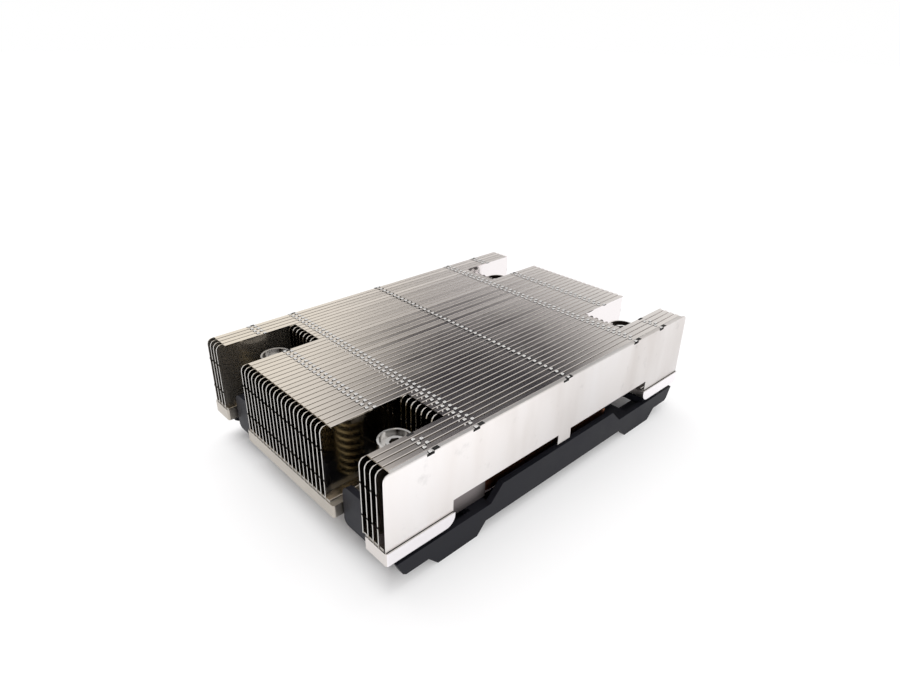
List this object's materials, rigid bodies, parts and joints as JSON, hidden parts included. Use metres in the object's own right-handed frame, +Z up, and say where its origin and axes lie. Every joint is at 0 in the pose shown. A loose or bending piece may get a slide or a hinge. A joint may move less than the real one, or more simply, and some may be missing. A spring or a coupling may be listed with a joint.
{
  "type": "passive server cpu heatsink",
  "caption": "Low passive heatsink of thin upright fins on a plated base, with corner notches for spring-loaded captive nuts and a black mounting frame underneath.",
  "frame": {"origin": "middle of the footprint, at the height of the frame's feet", "axes": "+Z up towards the fin tops, Y along the fins with the pictured end at -Y, +X towards the bright side plate"},
  "size_m": [0.078, 0.113, 0.0306],
  "materials": {
    "fin_metal": "satin",
    "side_metal": "satin",
    "base_metal": "satin",
    "copper": "satin",
    "frame_plastic": "satin",
    "nut_nickel": "polished",
    "spring_steel": "satin",
    "ring_steel": "satin"
  },
  "bodies": {
    "heatsink": {"fin_left_wing_1": "fin_metal", "fin_left_wing_2": "fin_metal", "fin_left_wing_3": "fin_metal", "fin_left_wing_4": "fin_metal", "fin_left_notch_1": "fin_metal", "fin_left_notch_2": "fin_metal", "fin_left_notch_3": "fin_metal", "fin_left_notch_4": "fin_metal", "fin_left_notch_5": "fin_metal", "fin_left_notch_6": "fin_metal", "fin_left_notch_7": "fin_metal", "fin_centre_01": "fin_metal", "fin_centre_02": "fin_metal", "fin_centre_03": "fin_metal", "fin_centre_04": "fin_metal", "fin_centre_05": "fin_metal", "fin_centre_06": "fin_metal", "fin_centre_07": "fin_metal", "fin_centre_08": "fin_metal", "fin_centre_09": "fin_metal", "fin_centre_10": "fin_metal", "fin_centre_11": "fin_metal", "fin_centre_12": "fin_metal", "fin_centre_13": "fin_metal", "fin_centre_14": "fin_metal", "fin_centre_15": "fin_metal", "fin_centre_16": "fin_metal", "fin_centre_17": "fin_metal", "fin_centre_18": "fin_metal", "fin_centre_19": "fin_metal", "fin_centre_20": "fin_metal", "fin_centre_21": "fin_metal", "fin_right_notch_1": "fin_metal", "fin_right_notch_2": "fin_metal", "fin_right_notch_3": "fin_metal", "fin_right_notch_4": "fin_metal", "fin_right_notch_5": "fin_metal", "fin_right_notch_6": "fin_metal", "fin_right_notch_7": "fin_metal", "fin_right_wing_1": "fin_metal", "fin_right_wing_2": "fin_metal", "fin_right_wing_3": "fin_metal", "fin_right_wing_4": "fin_metal", "outer_side_plate": "side_metal", "base_plate": "base_metal", "heat_pipes": "copper", "contact_plate": "copper", "retention_frame": "frame_plastic"},
    "spring_front_left": {"spring_front_left": "spring_steel"},
    "nut_front_left": {"captive_nut_front_left": "nut_nickel", "retaining_ring_front_left": "ring_steel"},
    "spring_front_right": {"spring_front_right": "spring_steel"},
    "nut_front_right": {"captive_nut_front_right": "nut_nickel", "retaining_ring_front_right": "ring_steel"},
    "spring_rear_left": {"spring_rear_left": "spring_steel"},
    "nut_rear_left": {"captive_nut_rear_left": "nut_nickel", "retaining_ring_rear_left": "ring_steel"},
    "spring_rear_right": {"spring_rear_right": "spring_steel"},
    "nut_rear_right": {"captive_nut_rear_right": "nut_nickel", "retaining_ring_rear_right": "ring_steel"}
  },
  "joints": [
    {"name": "press_front_left", "type": "slide", "parent": "heatsink", "child": "spring_front_left", "axis": [0, 0, -1], "range_m": [0, 0.002], "stiffness_N_per_m": 8000, "deforming": ["spring_front_left"]},
    {"name": "turn_front_left", "type": "hinge", "parent": "spring_front_left", "child": "nut_front_left", "pos_m": [-0.02569, -0.0432, 0], "axis": [0, 0, 1], "continuous": true},
    {"name": "press_front_right", "type": "slide", "parent": "heatsink", "child": "spring_front_right", "axis": [0, 0, -1], "range_m": [0, 0.002], "stiffness_N_per_m": 8000, "deforming": ["spring_front_right"]},
    {"name": "turn_front_right", "type": "hinge", "parent": "spring_front_right", "child": "nut_front_right", "pos_m": [0.02569, -0.0432, 0], "axis": [0, 0, 1], "continuous": true},
    {"name": "press_rear_left", "type": "slide", "parent": "heatsink", "child": "spring_rear_left", "axis": [0, 0, -1], "range_m": [0, 0.002], "stiffness_N_per_m": 8000, "deforming": ["spring_rear_left"]},
    {"name": "turn_rear_left", "type": "hinge", "parent": "spring_rear_left", "child": "nut_rear_left", "pos_m": [-0.02569, 0.0432, 0], "axis": [0, 0, 1], "continuous": true},
    {"name": "press_rear_right", "type": "slide", "parent": "heatsink", "child": "spring_rear_right", "axis": [0, 0, -1], "range_m": [0, 0.002], "stiffness_N_per_m": 8000, "deforming": ["spring_rear_right"]},
    {"name": "turn_rear_right", "type": "hinge", "parent": "spring_rear_right", "child": "nut_rear_right", "pos_m": [0.02569, 0.0432, 0], "axis": [0, 0, 1], "continuous": true}
  ]
}
